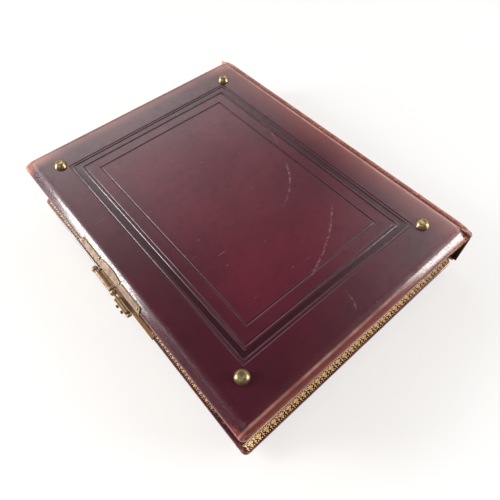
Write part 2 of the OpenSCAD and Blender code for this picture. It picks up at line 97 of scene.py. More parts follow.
leanTurn = Matrix.Rotation(-lean, 4, "Y")
toInner = Matrix.Translation((0, 0, -axisRise))
frontPlace = Matrix.Translation(highAxis) @ leanTurn @ toInner
backPlace = Matrix.Translation(lowAxis) @ Matrix.Diagonal((1, 1, -1, 1)) @ toInner
spinePlace = Matrix.Translation(lowAxis) @ leanTurn
print("frame: lean", round(math.degrees(lean), 2), "cover", round(foreX, 1), round(2 * halfY, 1))


# a socket's value, with the arithmetic of Math nodes
class Value:
    def __init__(self, finish, socket):
        self.finish = finish
        self.socket = socket

    def maths(self, operation, *terms):
        return self.finish.node("Math", {"operation": operation}, dict(enumerate(terms)))

    def __add__(self, other):
        return self.maths("ADD", self, other)

    def __sub__(self, other):
        return self.maths("SUBTRACT", self, other)

    def __rsub__(self, other):
        return self.maths("SUBTRACT", other, self)

    def __mul__(self, other):
        return self.maths("MULTIPLY", self, other)

    def __truediv__(self, other):
        return self.maths("DIVIDE", self, other)

    def __rtruediv__(self, other):
        return self.maths("DIVIDE", other, self)

    def __abs__(self):
        return self.maths("ABSOLUTE", self)

    __radd__ = __add__
    __rmul__ = __mul__

    def least(self, other):
        return self.maths("MINIMUM", self, other)

    def most(self, other):
        return self.maths("MAXIMUM", self, other)

    def root(self):
        return self.maths("SQRT", self)

    # 0 at low and 1 at high, with soft ends
    def rise(self, low, high):
        return self.finish.node(
            "MapRange",
            {"interpolation_type": "SMOOTHSTEP"},
            {"Value": self, "From Min": low, "From Max": high},
        )

    # 1 within half a width of the middle
    def line(self, middle, width, soft=0.2):
        return abs(self - middle).rise(width / 2 + soft, width / 2)


class Finish:
    def __init__(self, owner):
        self.owner = owner
        owner.use_nodes = True
        self.tree = owner.node_tree
        self.tree.nodes.clear()

    def node(self, kind, settings=None, sockets=None, output=0):
        made = self.tree.nodes.new("ShaderNode" + kind)
        for key, setting in (settings or {}).items():
            if key == "stops":
                stops = made.color_ramp.elements
                while len(stops) < len(setting):
                    stops.new(1)
                for stop, (place, level) in zip(stops, setting):
                    stop.position = place
                    stop.color = (level, level, level, 1)
            else:
                setattr(made, key, setting)
        for key, given in (sockets or {}).items():
            if isinstance(given, Value):
                self.tree.links.new(given.socket, made.inputs[key])
            else:
                made.inputs[key].default_value = given
        return Value(self, made.outputs[output]) if made.outputs else None

    # Object coordinates in mm, or in the frame of one piece
    def spot(self, location=(0, 0, 0), turn=(0, 0, 0)):
        return self.node(
            "Mapping",
            {"vector_type": "TEXTURE"},
            {
                "Vector": self.node("TexCoord", output="Object"),
                "Location": location,
                "Rotation": turn,
                "Scale": (mm, mm, mm),
            },
        )

    def stretched(self, vector, scale, turn=(0, 0, 0)):
        return self.node("Mapping", {}, {"Vector": vector, "Rotation": turn, "Scale": scale})

    def split(self, vector):
        return [self.node("SeparateXYZ", {}, {0: vector}, axis) for axis in range(3)]

    def cloud(self, vector, size, detail=3, roughness=0.55):
        return self.node(
            "TexNoise", {}, {"Vector": vector, "Scale": 1 / size, "Detail": detail, "Roughness": roughness}
        )

    def cells(self, vector, size):
        return self.node("TexVoronoi", {}, {"Vector": vector, "Scale": 1 / size}, "Distance")

    def mix(self, first, second, share):
        return self.node("Mix", {"data_type": "RGBA"}, {0: share, 6: first, 7: second}, 2)

    def bump(self, height, strength=1.0):
        return self.node("Bump", {}, {"Height": height, "Strength": strength, "Distance": mm})

    def shade(self, sockets):
        return self.close(self.node("BsdfPrincipled", {}, sockets))

    def close(self, surface, kind="OutputMaterial"):
        self.node(kind, {}, {"Surface": surface})
        return self.owner


def newFinish(name):
    return Finish(bpy.data.materials.new(name))


def rgb(red, green, blue):
    def straight(level):
        level /= 255
        return level / 12.92 if level <= 0.04045 else ((level + 0.055) / 1.055) ** 2.4

    return (straight(red), straight(green), straight(blue), 1)


# blind tooling, as distance inside the rectangle of the bosses
tooling = {
    "fillets": ((5.5, 1.7, 0.34), (14.3, 2.0, 0.4), (24.6, 2.0, 0.4)),  # middle, width and depth of each
    "band": (7.3, 12.4, 0.45),  # from, to and depth
    "bandWall": 0.8,
    "panel": 32.0,
    # fillets across the spine: distance from its middle, and width
    "spine": ((132, 0.5), (129.5, 1.4), (127, 0.5), (45.5, 0.5), (43, 1.4), (40.5, 0.5)),
}

leatherLook = {
    "deep": rgb(62, 24, 33),
    "warm": rgb(88, 31, 43),
    "bevel": rgb(104, 46, 38),
    "faded": rgb(130, 68, 63),
    "rubbed": rgb(186, 124, 100),
    "raw": rgb(206, 150, 110),
    "red": rgb(116, 35, 36),
    "band": rgb(44, 20, 27),
    "pale": rgb(150, 116, 122),
    "speck": rgb(196, 162, 152),
    "wornCrestSheen": rgb(198, 160, 146),
    "groove": rgb(168, 122, 114),
    "specular": 0.22,
    "polish": 0.7,
    "polishRough": 0.11,
}

# sizes of the leather's clouds of tone
leatherClouds = {"broad": 55, "patch": 13, "mottle": 6, "fine": 2.6, "grain": 0.6, "pits": 1.3}

# where a mask of wear starts and is full: a height, x from the joint's axis, or distance in from an edge
leatherWear = {
    "outer": (0.6, 2.4),
    "panel": (-14, 60),
    "side": (4.6, 3.4),
    "aboveSide": (9, 4),
    "spineFace": (-4.6, -8),
    "spineInsideLit": (-23, -24),
    "joint": (30, 2),
    "jointCorner": (58, 16),
    "tail": (22, 6),
    "corner": (22, 8),
    "tips": (17, 5),
    "lowEdge": (1.0, 0.1),
    "foreBevel": (9.5, 6.5),
}

# pale scuffs on the front cover: middle, radius, from and to along y, width
scuffs = (
    ((116.8, -23.1), 66.7, 4, 36, 0.9),
    ((161.3, -40.5), 143.8, 62, 96, 0.9),
    ((133.8, 119.9), 24.9, 122, 133, 0.6),
    ((112.1, -51.2), 75.0, -48, -18, 0.5),
)


def leatherFinish(name, scuffed=False):
    look, wear = leatherLook, leatherWear
    made = newFinish(name)
    spot = made.spot()
    # the plan holds each point's place in the cover's own frame
    plan = made.node("Attribute", {"attribute_name": "plan"}, output="Vector")
    x, y, z = made.split(plan)
    outer = z.rise(*wear["outer"])
    foreEdge = foreX - x
    headEdge = halfY - abs(y)
    edge = foreEdge.least(headEdge)
    inside = (bossHalfX - abs(x - midX)).least(bossHalfY - abs(y))
    broad = made.cloud(spot, leatherClouds["broad"], 2)
    patch = made.cloud(spot, leatherClouds["patch"], 4, 0.6)
    fine = made.cloud(spot, leatherClouds["fine"], 4, 0.65)
    grain = made.cloud(spot, leatherClouds["grain"], 2, 0.5)
    mottle = made.cloud(spot, leatherClouds["mottle"], 5, 0.7)
    broken = fine.rise(0.44, 0.6)

    # age: redder in the panel, brown below the ridge at head and tail, faded along the joint and the tail; the
    # spine's face darker, partly handling dirt and partly painted shade; painted light on the inside of the
    # spine's ends and in the joint's groove
    redder = inside.rise(*wear["panel"]) * 0.7 + broad.rise(0.36, 0.64) * 0.3
    ground = made.mix(look["deep"], look["warm"], redder)
    side = headEdge.rise(*wear["side"]).most(headEdge.rise(*wear["aboveSide"]) * 0.35)
    side = side * outer * foreEdge.rise(-2, 12)
    ground = made.mix(ground, look["bevel"], side * (0.75 + 0.25 * patch))
    ground = made.mix(ground, look["band"], mottle.rise(0.46, 0.72) * 0.22)
    onSpine = x.rise(*wear["spineFace"]) * x.rise(-24, -23)
    # the spine's face is darker: partly handling dirt, partly painted shade that tones down the strong light
    # falling on it
    ground = made.mix(ground, look["band"], onSpine * (0.4 + 0.3 * broad))
    # painted light: the shaded inside of the spine's ends is lightened with the rubbed colour
    ground = made.mix(ground, look["rubbed"], x.rise(*wear["spineInsideLit"]) * (0.3 + 0.6 * patch))
    joint = x.rise(*wear["joint"]) * x.rise(-10, -3.4)
    jointCorner = (x + headEdge).rise(*wear["jointCorner"]) * x.rise(-6, 2)
    tail = (y + halfY).rise(*wear["tail"]) * outer * (1 - 0.65 * onSpine)
    worn = joint.most(jointCorner * 0.4).most(tail * 0.85)
    ground = made.mix(ground, look["faded"], worn * (0.15 + 0.45 * patch + 0.6 * mottle))
    tailEnds = tail * foreEdge.rise(40, 8).most(x.rise(40, 12))
    ground = made.mix(ground, look["rubbed"], tailEnds * (0.2 + 0.6 * patch))
    # painted light: the joint's groove is paler, to offset the shade that falls in it
    groove = x.line(4.7, 2.4, 0.7) * z.rise(5, 6)
    ground = made.mix(ground, look["groove"], groove * (0.5 + 0.4 * patch))
    nearCorner = (foreEdge + headEdge).rise(*wear["corner"]) * patch.rise(0.52, 0.62)
    ground = made.mix(ground, look["red"], nearCorner * outer * 0.7)

    # rubbing on the edges that stand out, down to raw skin in places, and a painted highlight along the ridges
    shoulder = x.rise(2.4, 0.6) * x.rise(-4.6, -3.0)
    jointEdge = x.line(1.2, 0.5, 0.6) * z.rise(6, 7)
    lowEdge = edge.rise(*wear["lowEdge"]) * z.rise(4.6, 3.4) * patch.rise(0.3, 0.75)
    tips = (foreEdge + headEdge).rise(*wear["tips"]) * edge.rise(5, 1.5) * y.rise(60, -60).most(0.3)
    # pale lines on the head's ridge and on the cover's round at the joint: partly rubbed wear, partly a painted
    # highlight
    jointCrestSheen = x.line(6.6, 0.5, 0.5) * z.rise(7, 9)
    wornCrestSheen = (headEdge.line(4.0, 0.3, 1.1) * outer * 0.5).most(jointCrestSheen * 0.6)
    wornCrestSheen = wornCrestSheen * (0.3 + patch.rise(0.3, 0.7) * 0.6)
    ground = made.mix(ground, look["wornCrestSheen"], wornCrestSheen)
    rub = (shoulder * 0.4).most(jointEdge * 0.6).most(lowEdge * 0.5).most(tips * 0.7)
    rub = rub * (0.35 + 0.65 * broken)
    ground = made.mix(ground, look["rubbed"], rub)
    jointEnd = joint * headEdge.rise(6, 1.5)
    roundX, roundY = (jointX + 9 - x).most(0), (9 - headEdge).most(0)
    ring = (roundX * roundX + roundY * roundY).root().line(8.0, 0.5, 0.5)
    ring = ring * roundX.rise(0, 3) * roundY.rise(0, 3)
    ground = made.mix(ground, look["raw"], ring * x.rise(2, 4) * (0.4 + 0.5 * broken))
    bare = (tips * edge.rise(3, 0.5)).most(jointEnd).most(shoulder * 0.5) * broken * patch.rise(0.46, 0.58)
    ground = made.mix(ground, look["raw"], bare)

    # burnished tooling
    bandFrom, bandTo, _ = tooling["band"]
    wall = tooling["bandWall"]
    band = inside.rise(bandFrom, bandFrom + wall) * inside.rise(bandTo, bandTo - wall)
    ground = made.mix(ground, look["band"], band * 0.9)
    fillet = None
    for middle, width, _ in tooling["fillets"]:
        cut = inside.line(middle, width * 0.3, width * 0.25)
        fillet = cut if fillet is None else fillet.most(cut)
    across = None
    for middle, width in tooling["spine"]:
        cut = abs(y).line(middle, width, 0.3)
        across = cut if across is None else across.most(cut)
    across = across * onSpine
    ground = made.mix(ground, look["band"], fillet.most(across) * 0.7)

    # small nicks and scuffs
    speck = made.cells(spot, 7).rise(0.06, 0.028) * made.cloud(spot, 17, 1).rise(0.51, 0.58)
    brushed = made.stretched(spot, (1 / 26, 1 / 0.8, 1 / 8), (0, 0, 0.6))
    streak = made.cloud(brushed, 1, 2, 0.5).rise(0.7, 0.76)
    marks = streak * patch.rise(0.5, 0.64) * 0.4
    if scuffed:
        for (centreX, centreY), radius, fromY, toY, width in scuffs:
            awayX, awayY = x - centreX, y - centreY
            arc = (awayX * awayX + awayY * awayY).root().line(radius, width, 0.7)
            arc = arc * y.rise(fromY - 3, fromY + 2) * y.rise(toY + 3, toY - 2) * x.rise(centreX, centreX - 5)
            marks = marks.most(arc * fine.rise(0.42, 0.66) * 0.45)
    ground = made.mix(ground, look["pale"], marks)
    ground = made.mix(ground, look["speck"], speck * 0.55)

    # pits and creases break the polish along the edges, and it is gone from the fore bevel near the head
    pits = made.cloud(spot, leatherClouds["pits"], 2, 0.6).rise(0.54, 0.62) * edge.rise(12, 8)
    crease = made.cloud(made.stretched(plan, (1 / 2.4, 1 / 12, 1 / 12)), 1, 2, 0.6).rise(0.47, 0.55)
    dull = (pits * outer).most(crease * headEdge.rise(11, 7) * x.rise(52, 66) * 0.9)
    glints = made.cloud(made.stretched(plan, (1 / 9, 1 / 2.4, 1 / 9)), 1, 2, 0.6).rise(0.62, 0.56)
    nearHead = (glints * y.rise(26, 46)).most(y.rise(56, 84))
    dull = dull.most(nearHead * foreEdge.rise(*wear["foreBevel"]) * 0.92)
    # the polish is also dulled where the painted highlight of the crest lies
    dull = dull.most(rub).most(wornCrestSheen * 0.8).most(marks * 0.6).most(edge.rise(2.8, 2.0) * outer * 0.85)
    height = grain * 0.012 + fine * 0.03 + mottle * 0.05 + patch * 0.06 - pits * 0.06 - across * 0.25
    return made.shade(
        {
            "Base Color": ground,
            "Roughness": 0.15 + 0.12 * fine,
            "Specular IOR Level": look["specular"],
            "Normal": made.bump(height, 0.7),
            "Coat Weight": (look["polish"] - 0.2 * mottle.rise(0.4, 0.7)) * (1 - 0.9 * dull),
            "Coat Roughness": look["polishRough"],
        }
    )


brassLook = {"patch": 4, "fine": 0.5, "stain": (0.42, 0.68), "rimRadius": 0.8, "rimTurn": (0.997, 0.95)}


# brass with stains, and with bright edges where a rim is given: partly worn polish, partly a painted highlight
def brassFinish(name, bright, dark, tarnish, roughness, metal=0.9, rim=None):
    made = newFinish(name)
    spot = made.spot()
    patch = made.cloud(spot, brassLook["patch"], 4, 0.6)
    fine = made.cloud(spot, brassLook["fine"], 3, 0.6)
    stain = (patch * 0.75 + fine * 0.25).rise(*brassLook["stain"])
    colour = made.mix(bright, dark, stain * tarnish)
    # painted highlight along the edges where the surface turns, on top of their worn brightness
    if rim:
        flat = made.node("NewGeometry", output="Normal")
        rounded = made.node("Bevel", {"samples": 8}, {"Radius": brassLook["rimRadius"] * mm})
        turned = made.node("VectorMath", {"operation": "DOT_PRODUCT"}, {0: flat, 1: rounded}, "Value")
        colour = made.mix(colour, rim, turned.rise(*brassLook["rimTurn"]) * (0.6 + 0.4 * fine))
    return made.shade(
        {
            "Base Color": colour,
            "Metallic": metal - 0.2 * stain,
            "Roughness": roughness + 0.12 * stain + 0.04 * fine,
            "Normal": made.bump(patch * 0.01 + fine * 0.001, 0.6),
        }
    )


# the gilt is rubbed off on the fore edge towards the head: masks by the distance from each, and its share
giltLook = {
    # a pale gold, mostly diffuse: painted light that keeps the gilt bright in the front cover's shade
    "bright": rgb(255, 226, 172),
    "dark": rgb(170, 118, 76),
    "fore": (9.4, 8.8),
    "head": (6, 6.8),
    "gone": (2.1, 2.5),
}


def giltFinish(name):
    look = giltLook
    made = newFinish(name)
    spot = made.spot()
    x, y, _ = made.split(spot)
    worn = made.cloud(spot, 1.8, 4, 0.65).rise(0.58, 0.72)
    colour = made.mix(look["bright"], look["dark"], worn * 0.6)
    nearFore = (coverHigh.x - x).rise(*look["fore"]) * (halfY - y).rise(*look["head"])
    gone = nearFore * (y / 60 + made.cloud(spot, 3, 3)).rise(*look["gone"])
    colour = made.mix(colour, leatherLook["deep"], gone)
    return made.shade(
        {"Base Color": colour, "Metallic": (0.2 - 0.15 * worn) * (1 - gone), "Roughness": 0.36 + 0.2 * worn}
    )


def clothFinish(name, pale, dark):
    made = newFinish(name)
    spot = made.spot()
    warp, weft = (
        made.node("TexWave", {"bands_direction": along}, {"Vector": spot, "Scale": 0.55, "Distortion": 0.6})
        for along in "XY"
    )
    thread = warp.most(weft)
    colour = made.mix(dark, pale, thread * 0.6 + 0.4 * made.cloud(spot, 12, 3))
    return made.shade({"Base Color": colour, "Roughness": 0.85, "Normal": made.bump(thread * 0.08, 0.6)})


def paperFinish(name, pale, aged):
    made = newFinish(name)
    spot = made.spot()
    _, y, _ = made.split(spot)
    fibre = made.cloud(spot, 0.6, 3, 0.6)
    stain = made.cloud(spot, 45, 4, 0.6).rise(0.45, 0.75)
    fox = made.cells(spot, 14).rise(0.1, 0.03) * made.cloud(spot, 31, 1).rise(0.5, 0.62)
    nearEdge = (halfY - abs(y)).rise(34, 14)
    colour = made.mix(pale, aged, (stain * 0.5).most(fox * 0.8).most(nearEdge * 0.5))
    return made.shade(
        {"Base Color": colour, "Roughness": 0.62 + 0.2 * fibre, "Normal": made.bump(fibre * 0.02, 0.5)}
    )


def boardFinish(name, dark, pale):
    made = newFinish(name)
    fibre = made.cloud(made.stretched(made.spot(), (1, 1, 4)), 0.9, 4, 0.7)
    colour = made.mix(dark, pale, fibre)
    return made.shade({"Base Color": colour, "Roughness": 0.9, "Normal": made.bump(fibre * 0.08, 0.7)})


def steelFinish(name, dark, pale):
    made = newFinish(name)
    grain = made.cloud(made.spot(), 0.6, 3)
    colour = made.mix(dark, pale, grain)
    return made.shade({"Base Color": colour, "Metallic": 1.0, "Roughness": 0.3 + 0.2 * grain})


leaves = {
    "count": sum(1 for name in nodes if name.startswith("leaf_")),
    "cabinet": (96, 142),
    "carte": (54, 86),
    "carteStep": (36, 55),
    "round": 8,
    "gutter": 10,
    "pale": rgb(232, 218, 188),
    "aged": rgb(204, 180, 140),
    "floor": rgb(188, 172, 142),
    "rule": rgb(184, 134, 62),
    "ink": rgb(120, 72, 50),
    "edge": rgb(204, 162, 98),
    "edgeDark": rgb(182, 140, 84),
}


# a leaf's card: gilt edges, and gilt rules round the windows of each face
def leafFinish(name, hinge, tilt, reach, half, cabinetOnTop):
    made = newFinish(name)
    along, v, w = made.split(made.spot(tuple(hinge * mm), (0, -tilt, 0)))
    spot = made.spot()
    u = along - (leaves["gutter"] + reach) / 2

    def windowEdge(across, lengthways, size):
        overX = abs(across) - (size[0] / 2 - leaves["round"])
        overY = abs(lengthways) - (size[1] / 2 - leaves["round"])
        outX, outY = overX.most(0), overY.most(0)
        return (outX * outX + outY * outY).root() + overX.most(overY).least(0) - leaves["round"]

    one = windowEdge(u, v, leaves["cabinet"])
    four = windowEdge(abs(u) - leaves["carteStep"][0], abs(v) - leaves["carteStep"][1], leaves["carte"])
    top = w.rise(-0.1, 0.1)
    share = top if cabinetOnTop else 1 - top
    gap = one * share + four * (1 - share)
    fibre = made.cloud(spot, 0.8, 3, 0.6)
    stain = made.cloud(spot, 40, 4, 0.6).rise(0.42, 0.72)
    border = (half - abs(v)).least(reach - along)
    colour = made.mix(leaves["pale"], leaves["aged"], (stain * 0.5).most(border.rise(9, 1) * 0.7))
    # painted shade: the floor of each window is darker, as the shade in its recess
    colour = made.mix(colour, leaves["floor"], gap.rise(-0.1, -0.5))
    rule = gap.line(2.4, 1.2, 0.1).most(gap.line(4.6, 0.4, 0.1))
    colour = made.mix(colour, leaves["rule"], rule * 0.9)
    colour = made.mix(colour, leaves["ink"], gap.line(0.45, 0.5, 0.15) * 0.8)
    gilded = border.rise(0.35, 0.15)
    streak = made.cloud(made.stretched(spot, (1 / 34, 1 / 34, 1 / 0.5)), 1, 4, 0.65).rise(0.35, 0.75)
    edgeGold = made.mix(leaves["edge"], leaves["edgeDark"], streak)
    colour = made.mix(colour, edgeGold, gilded)
    metal = (gilded * 0.85).most(rule * 0.3)
    return made.shade(
        {
            "Base Color": colour,
            "Metallic": metal,
            "Roughness": 0.6 + 0.15 * fibre - 0.22 * metal,
            "Normal": made.bump(fibre * 0.02, 0.5),
        }
    )


frontLeather = leatherFinish("frontLeather", True)
bindingLeather = leatherFinish("bindingLeather")
claspBrass = brassFinish("claspBrass", rgb(140, 112, 84), rgb(98, 75, 56), 0.7, 0.46, 0.5, rgb(214, 184, 140))
# the upper plate has a darker copy of the clasp's brass: painted shade that holds down the window's strong
# reflection on it
shadedPlateBrass = brassFinish("shadedPlateBrass", rgb(98, 77, 58), rgb(72, 54, 40), 0.7, 0.44, 0.5, rgb(232, 204, 160))
pinBrass = brassFinish("pinBrass", rgb(146, 117, 90), rgb(78, 58, 44), 0.8, 0.34, 0.7)
bossBrass = brassFinish("bossBrass", rgb(156, 136, 98), rgb(94, 76, 50), 0.7, 0.27)
gilt = giltFinish("gilt")
linen = clothFinish("linen", rgb(206, 190, 156), rgb(158, 138, 102))
endpaper = paperFinish("endpaper", rgb(226, 214, 188), rgb(190, 164, 124))
stubCard = paperFinish("stubCard", rgb(218, 200, 164), rgb(176, 146, 106))
millboard = boardFinish("millboard", rgb(120, 98, 70), rgb(160, 136, 102))
springSteel = steelFinish("springSteel", rgb(110, 108, 106), rgb(168, 166, 162))
print("finishes made")


def markCreases(bm, degrees):
    for edge in bm.edges:
        edge.smooth = edge.calc_face_angle(0) < math.radians(degrees)


def finishPiece(name, bm, place, finish, body=None, replaced=(), crease=50):
    bmesh.ops.transform(bm, matrix=Matrix.Scale(mm, 4) @ place, verts=bm.verts)
    bmesh.ops.recalc_face_normals(bm, faces=bm.faces)
    markCreases(bm, crease)
    mesh = bpy.data.meshes.new(name)
    bm.to_mesh(mesh)
    bm.free()
    mesh.polygons.foreach_set("use_smooth", [True] * len(mesh.polygons))
    mesh.materials.append(finish)
    piece = bpy.data.objects.new(name, mesh)
    bpy.context.scene.collection.objects.link(piece)
    if body:
        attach(piece, body)
    if replaced:
        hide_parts(*replaced)
    return piece


def thicken(piece, thickness, offset=-1):
    wall = piece.modifiers.new("wall", "SOLIDIFY")
    wall.thickness = thickness * mm
    wall.offset = offset
    return piece


def onlyVerts(geometry):
    return [part for part in geometry if isinstance(part, bmesh.types.BMVert)]


def onlyEdges(geometry):
    return [part for part in geometry if isinstance(part, bmesh.types.BMEdge)]


# draws a loop of edges on to a new rectangle, keeping the shape of its corners
def stepLoop(bm, loop, old, new):
    made = bmesh.ops.extrude_edge_only(bm, edges=loop)["geom"]
    fresh = onlyVerts(made)
    for vert in fresh:
        for axis, (oldMid, oldHalf, newMid, newHalf) in enumerate(
            (
                ((old[0] + old[1]) / 2, (old[1] - old[0]) / 2, (new[0] + new[1]) / 2, (new[1] - new[0]) / 2),
                (0, old[2], 0, new[2]),
            )
        ):
            vert.co[axis] = newMid + (vert.co[axis] - oldMid) * newHalf / oldHalf
        vert.co.z = new[3]
    known = set(fresh)
    return [edge for edge in onlyEdges(made) if known.issuperset(edge.verts)]


# a level rectangle of one face: x from, x to, half of y, z
def rectangle(bm, box, cornerRound=0):
    made = bmesh.ops.create_grid(bm, x_segments=1, y_segments=1, size=0.5)["verts"]
    bmesh.ops.scale(bm, vec=(box[1] - box[0], 2 * box[2], 1), verts=made)
    bmesh.ops.translate(bm, vec=((box[0] + box[1]) / 2, 0, box[3]), verts=made)
    face = made[0].link_faces[0]
    if cornerRound:
        bmesh.ops.bevel(
            bm, geom=made, offset=cornerRound, segments=4, profile=0.5, affect="VERTICES", material=-1
        )
        face = max(bm.faces, key=lambda each: each.calc_area())
    loop = list(face.edges)
    bmesh.ops.delete(bm, geom=[face], context="FACES_ONLY")
    return loop


def keepPlan(bm, mapped=lambda co: co):
    layer = bm.verts.layers.float_vector.new("plan")
    for vert in bm.verts:
        vert[layer] = mapped(vert.co)


def evenSteps(low, high, count):
    return [low + (high - low) * step / count for step in range(count + 1)]


coverLook = {
    "turnIn": 15,
    "turnInMiddle": 8,
    "turnInRound": 0.2,
    "leather": 1.0,
    "shell": 0.85,  # share of the leather's thickness in its mesh
    "innerRound": 1.2,
    "cornerRound": 4,
    "jointRound": 3,
    "innerSteps": (0.1, 0.35, 0.7, 1.2),
    # insets and heights of the outer edge below the bevel
    "rim": ((0, 2.6), (0.04, 3.0), (0.2, 3.4)),
    # from the flat top a round falls to the slope of the bevel, and a straight side runs on to the foot
    "fall": (9.8, 8.7),  # inset where it starts, radius
    "slope": 40,
    "foot": (0.45, 3.94),  # inset and height
    "rings": (0.2, 0.4, 0.6, 0.8, 0.97),  # loops between the bevel and the tooling
    "wave": (58, 0.12),  # size and height of the unevenness
    "waveFrom": {"front_cover": 7.3, "back_cover": 2.1},
    "waveAbove": 1.5,
    "cuts": (40, 30),  # edges that are longer, and the cuts that each gets
}


def coverLevels():
    look = coverLook
    top, radius = look["fall"]
    fall = [
        (top - radius * math.sin(turn), coverThick - radius * (1 - math.cos(turn)))
        for turn in evenSteps(math.radians(look["slope"]), 0, 8)
    ]
    low, high = Vector(look["foot"]), Vector(fall[0])
    side = [tuple(low.lerp(high, share)) for share in (0, 0.3, 0.6, 0.88)]
    return list(look["rim"]) + side + fall


# the cover's outer edge is rounded along the joint: inset at a height
def jointInset(z):
    radius = coverLook["jointRound"]
    up = z - (coverThick - radius)
    return radius - math.sqrt(max(radius * radius - up * up, 0)) if up > 0 else 0


# the tooled frames as loops: inset and height, with a small lip beside each cut
def toolLevels():
    lip = 0.04
    levels = [(tooling["panel"], 0)]
    for middle, width, deep in tooling["fillets"]:
        for side in (-1, 1):
            shape = ((0.85, 0), (0.6, 0), (0.48, lip), (0.32, -0.5 * deep), (0.14, -deep))
            levels += [(middle + side * out * width, up) for out, up in shape]
    bandFrom, bandTo, deep = tooling["band"]
    for edge, side in ((bandFrom, 1), (bandTo, -1)):
        shape = ((-0.45, 0), (-0.2, 0), (0, lip), (0.3, -0.5 * deep), (0.6, -deep), (0.9, -deep))
        levels += [(edge + side * out, up) for out, up in shape]
    return sorted(levels)


# the inner edge of a cover is rounded: height over the inner face at an inset
def edgeRise(inset):
    radius = coverLook["innerRound"]
    short = radius - min(max(inset, 0), radius)
    return radius - math.sqrt(radius**2 - short**2)


def leatherCover(name, place, finish, body, replaced):
    look = coverLook
    bm = bmesh.new()

    def box(inset, jointSide, z):
        return (jointX + jointSide, foreX - inset, halfY - inset, z)

    first = box(0, 0, look["innerRound"])
    outline = rectangle(bm, first, look["cornerRound"])
    # the turn-in, from the edge to its opening round the endpaper
    loop, old = outline, first
    turnIn, small = look["turnIn"], look["turnInRound"]
    flat = [(look["turnInMiddle"], 0), (turnIn - small, 0), (turnIn, small), (turnIn, look["leather"])]
    for inset, z in [(inset, edgeRise(inset)) for inset in look["innerSteps"]] + flat:
        new = box(inset, inset, z)
        loop = stepLoop(bm, loop, old, new)
        old = new
    # up the edge and over the bevel
    loop, old = outline, first
    for inset, z in coverLevels():
        new = box(inset, jointInset(z), z)
        loop = stepLoop(bm, loop, old, new)
        old = new
    flatTop = old
    # the tooled panel
    levels = toolLevels()

    def panel(inset, deep):
        return (midX - bossHalfX + inset, midX + bossHalfX - inset, bossHalfY - inset, coverThick + deep)

    first = panel(*levels[0])
    for share in look["rings"]:
        new = tuple(start + (end - start) * share for start, end in zip(flatTop, first))
        loop = stepLoop(bm, loop, old, new)
        old = new
    inner = rectangle(bm, first)
    bmesh.ops.bridge_loops(bm, edges=loop + inner)
    loop, old = inner, first
    for level in levels[1:]:
        new = panel(*level)
        loop = stepLoop(bm, loop, old, new)
        old = new
    bmesh.ops.contextual_create(bm, geom=loop)
    least, cuts = look["cuts"]
    long = [edge for edge in bm.edges if edge.calc_length() > least]
    bmesh.ops.subdivide_edges(bm, edges=long, cuts=cuts, use_grid_fill=True)
    keepPlan(bm)
    shift = Vector((0, 0, look["waveFrom"][body]))  # the two covers wave differently
    size, deep = look["wave"]
    for vert in bm.verts:
        if vert.co.z > look["waveAbove"]:
            vert.co.z += deep * noise.noise(Vector((vert.co.x, vert.co.y, 0)) / size + shift)
    piece = finishPiece(name, bm, place, finish, body, replaced, crease=60)
    return thicken(piece, look["leather"] * look["shell"])


leatherCover("frontCover", frontPlace, frontLeather, "front_cover", ["front_leather"])
leatherCover("backCover", backPlace, bindingLeather, "back_cover", ["back_leather"])
print("covers made")


# ends of the spine: how far they stand past the covers, and how they round, lap, sink and pucker
endLook = {
    "past": 1.3,
    "back": 3.6,
    "lap": 5.2,
    "lapX": (2.6, 2.2),  # from, and over how much
    "dome": 12.5,
    "sink": 0.9,
    "sinkOut": (-1.5, 2),
    "sinkX": (3, 1),
    "cut": 5.8,
    "cutSoft": 0.5,
    "pucker": 0.7,
    "puckerEnd": (9, 1),
    "puckerX": ((1.5, 2.6), (5.2, 3.6)),
}
spineLook = {
    "shoulder": 2.9,
    "face": 3.18,
    "faceStart": 0.6,
    "faceSteps": (4, 8),  # from each axis, and how many
    "faceX": -2,  # points beyond it are on the face
    "inside": (0.5, 2.5),  # points nearer to x = 0 and farther from an axis are inside
    "endRound": 0.6,
    "steps": 48,
    "wave": (22, 0.06),
    "planFace": -3.2,
    "planInside": -25,
    "planHeight": 5,
}
jointLook = {
    "radius": 3.2,
    "start": 1.5,
    "end": 50,
    "groove": ((2.5, 2.22), (2.8, 2.15), (3.1, 2.2), (3.36, 2.4)),  # x, and z over the joint's axis
    "overEdge": (0, 20, 40, 58, 72),  # degrees round the cover's edge
    "lap": 0.06,
    "wall": 0.28,
    "steps": 48,
    "bend": (-3.0, 2.9),  # x of two points on the joint's axis, on the spine's side and the cover's; they are worked out and not used
}


def arcOn(bm, vert, centre, degrees, steps):
    middle, angle = (centre[0], 0, centre[1]), math.radians(degrees)
    made = bmesh.ops.spin(bm, geom=[vert], cent=middle, axis=(0, -1, 0), angle=angle, steps=steps)
    return onlyVerts(made["geom_last"])[0]


def lineOn(bm, vert, x, z):
    made = bm.verts.new((x, vert.co.y, z))
    bm.edges.new((vert, made))
    return made


def smooth(value, low, high):
    share = min(max((value - low) / (high - low), 0), 1)
    return share * share * (3 - 2 * share)


